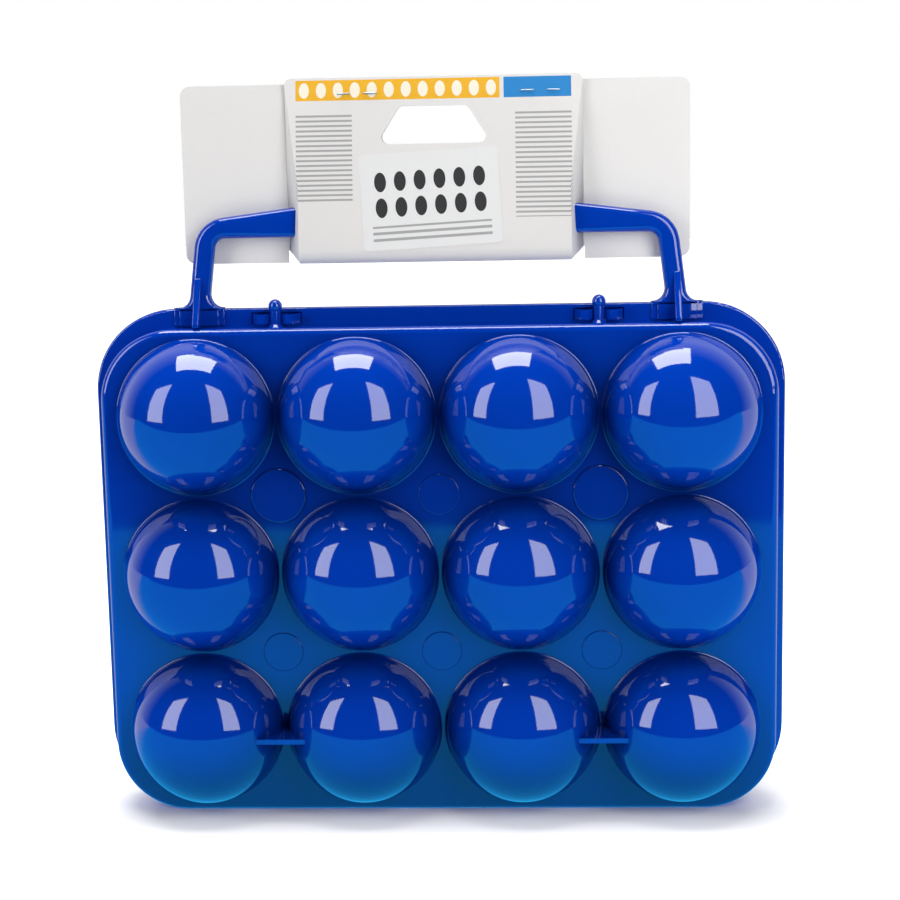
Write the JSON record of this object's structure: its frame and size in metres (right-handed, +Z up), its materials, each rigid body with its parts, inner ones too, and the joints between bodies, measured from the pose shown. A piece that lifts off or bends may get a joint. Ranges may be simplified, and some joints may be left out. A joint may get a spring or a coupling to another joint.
{
  "type": "egg carrier",
  "caption": "Hinged hard plastic egg carrier with rows of domed cups, a carry handle, ball-post snap latches and a folded header card.",
  "frame": {"origin": "middle of the bottom, at the floor and at the plane where the two halves meet", "axes": "+X along the hinge to the right, +Y to the rear half, +Z up; the front faces -Y"},
  "size_m": [0.2064, 0.0598, 0.2206],
  "materials": {
    "blue_plastic": "glossy",
    "steel": "drawn wire",
    "card": "coated card",
    "label": "paper"
  },
  "bodies": {
    "rear_half": {"rear_tray": "blue_plastic", "carry_handle": "blue_plastic", "hinge_pin_left": "steel", "hinge_pin_right": "steel", "rear_cup_bottom_1": "blue_plastic", "rear_cup_bottom_2": "blue_plastic", "rear_cup_bottom_3": "blue_plastic", "rear_cup_bottom_4": "blue_plastic", "rear_cup_middle_1": "blue_plastic", "rear_cup_middle_2": "blue_plastic", "rear_cup_middle_3": "blue_plastic", "rear_cup_middle_4": "blue_plastic", "rear_cup_top_1": "blue_plastic", "rear_cup_top_2": "blue_plastic", "rear_cup_top_3": "blue_plastic", "rear_cup_top_4": "blue_plastic"},
    "front_half": {"front_tray": "blue_plastic", "web_rib_left": "blue_plastic", "web_rib_right": "blue_plastic", "plate_pads": "blue_plastic", "latch_post_left": "blue_plastic", "latch_post_right": "blue_plastic", "front_cup_bottom_1": "blue_plastic", "front_cup_bottom_2": "blue_plastic", "front_cup_bottom_3": "blue_plastic", "front_cup_bottom_4": "blue_plastic", "front_cup_middle_1": "blue_plastic", "front_cup_middle_2": "blue_plastic", "front_cup_middle_3": "blue_plastic", "front_cup_middle_4": "blue_plastic", "front_cup_top_1": "blue_plastic", "front_cup_top_2": "blue_plastic", "front_cup_top_3": "blue_plastic", "front_cup_top_4": "blue_plastic"},
    "finger_left_inner": {"latch_finger_left_inner": "blue_plastic"},
    "finger_left_outer": {"latch_finger_left_outer": "blue_plastic"},
    "finger_right_inner": {"latch_finger_right_inner": "blue_plastic"},
    "finger_right_outer": {"latch_finger_right_outer": "blue_plastic"},
    "card": {"header_card": "card", "card_label": "label", "card_staples": "steel"}
  },
  "joints": [
    {"name": "lid_hinge", "type": "hinge", "parent": "rear_half", "child": "front_half", "pos_m": [0, 0, 0.00225], "axis": [1, 0, 0], "range_deg": [0, 125]},
    {"name": "finger_left_inner_flex", "type": "hinge", "parent": "rear_half", "child": "finger_left_inner", "pos_m": [-0.0408, 0.0011, 0.15035], "axis": [0, 0, 1], "range_deg": [0, 6], "stiffness_Nm_per_rad": 0.02},
    {"name": "finger_left_outer_flex", "type": "hinge", "parent": "rear_half", "child": "finger_left_outer", "pos_m": [-0.0552, 0.0011, 0.15035], "axis": [0, 0, -1], "range_deg": [0, 6], "stiffness_Nm_per_rad": 0.02},
    {"name": "finger_right_inner_flex", "type": "hinge", "parent": "rear_half", "child": "finger_right_inner", "pos_m": [0.0408, 0.0011, 0.15035], "axis": [0, 0, -1], "range_deg": [0, 6], "stiffness_Nm_per_rad": 0.02},
    {"name": "finger_right_outer_flex", "type": "hinge", "parent": "rear_half", "child": "finger_right_outer", "pos_m": [0.0552, 0.0011, 0.15035], "axis": [0, 0, 1], "range_deg": [0, 6], "stiffness_Nm_per_rad": 0.02},
    {"name": "card_slide", "type": "slide", "parent": "rear_half", "child": "card", "axis": [1, 0, 0], "range_m": [-0.02, 0.02]}
  ]
}
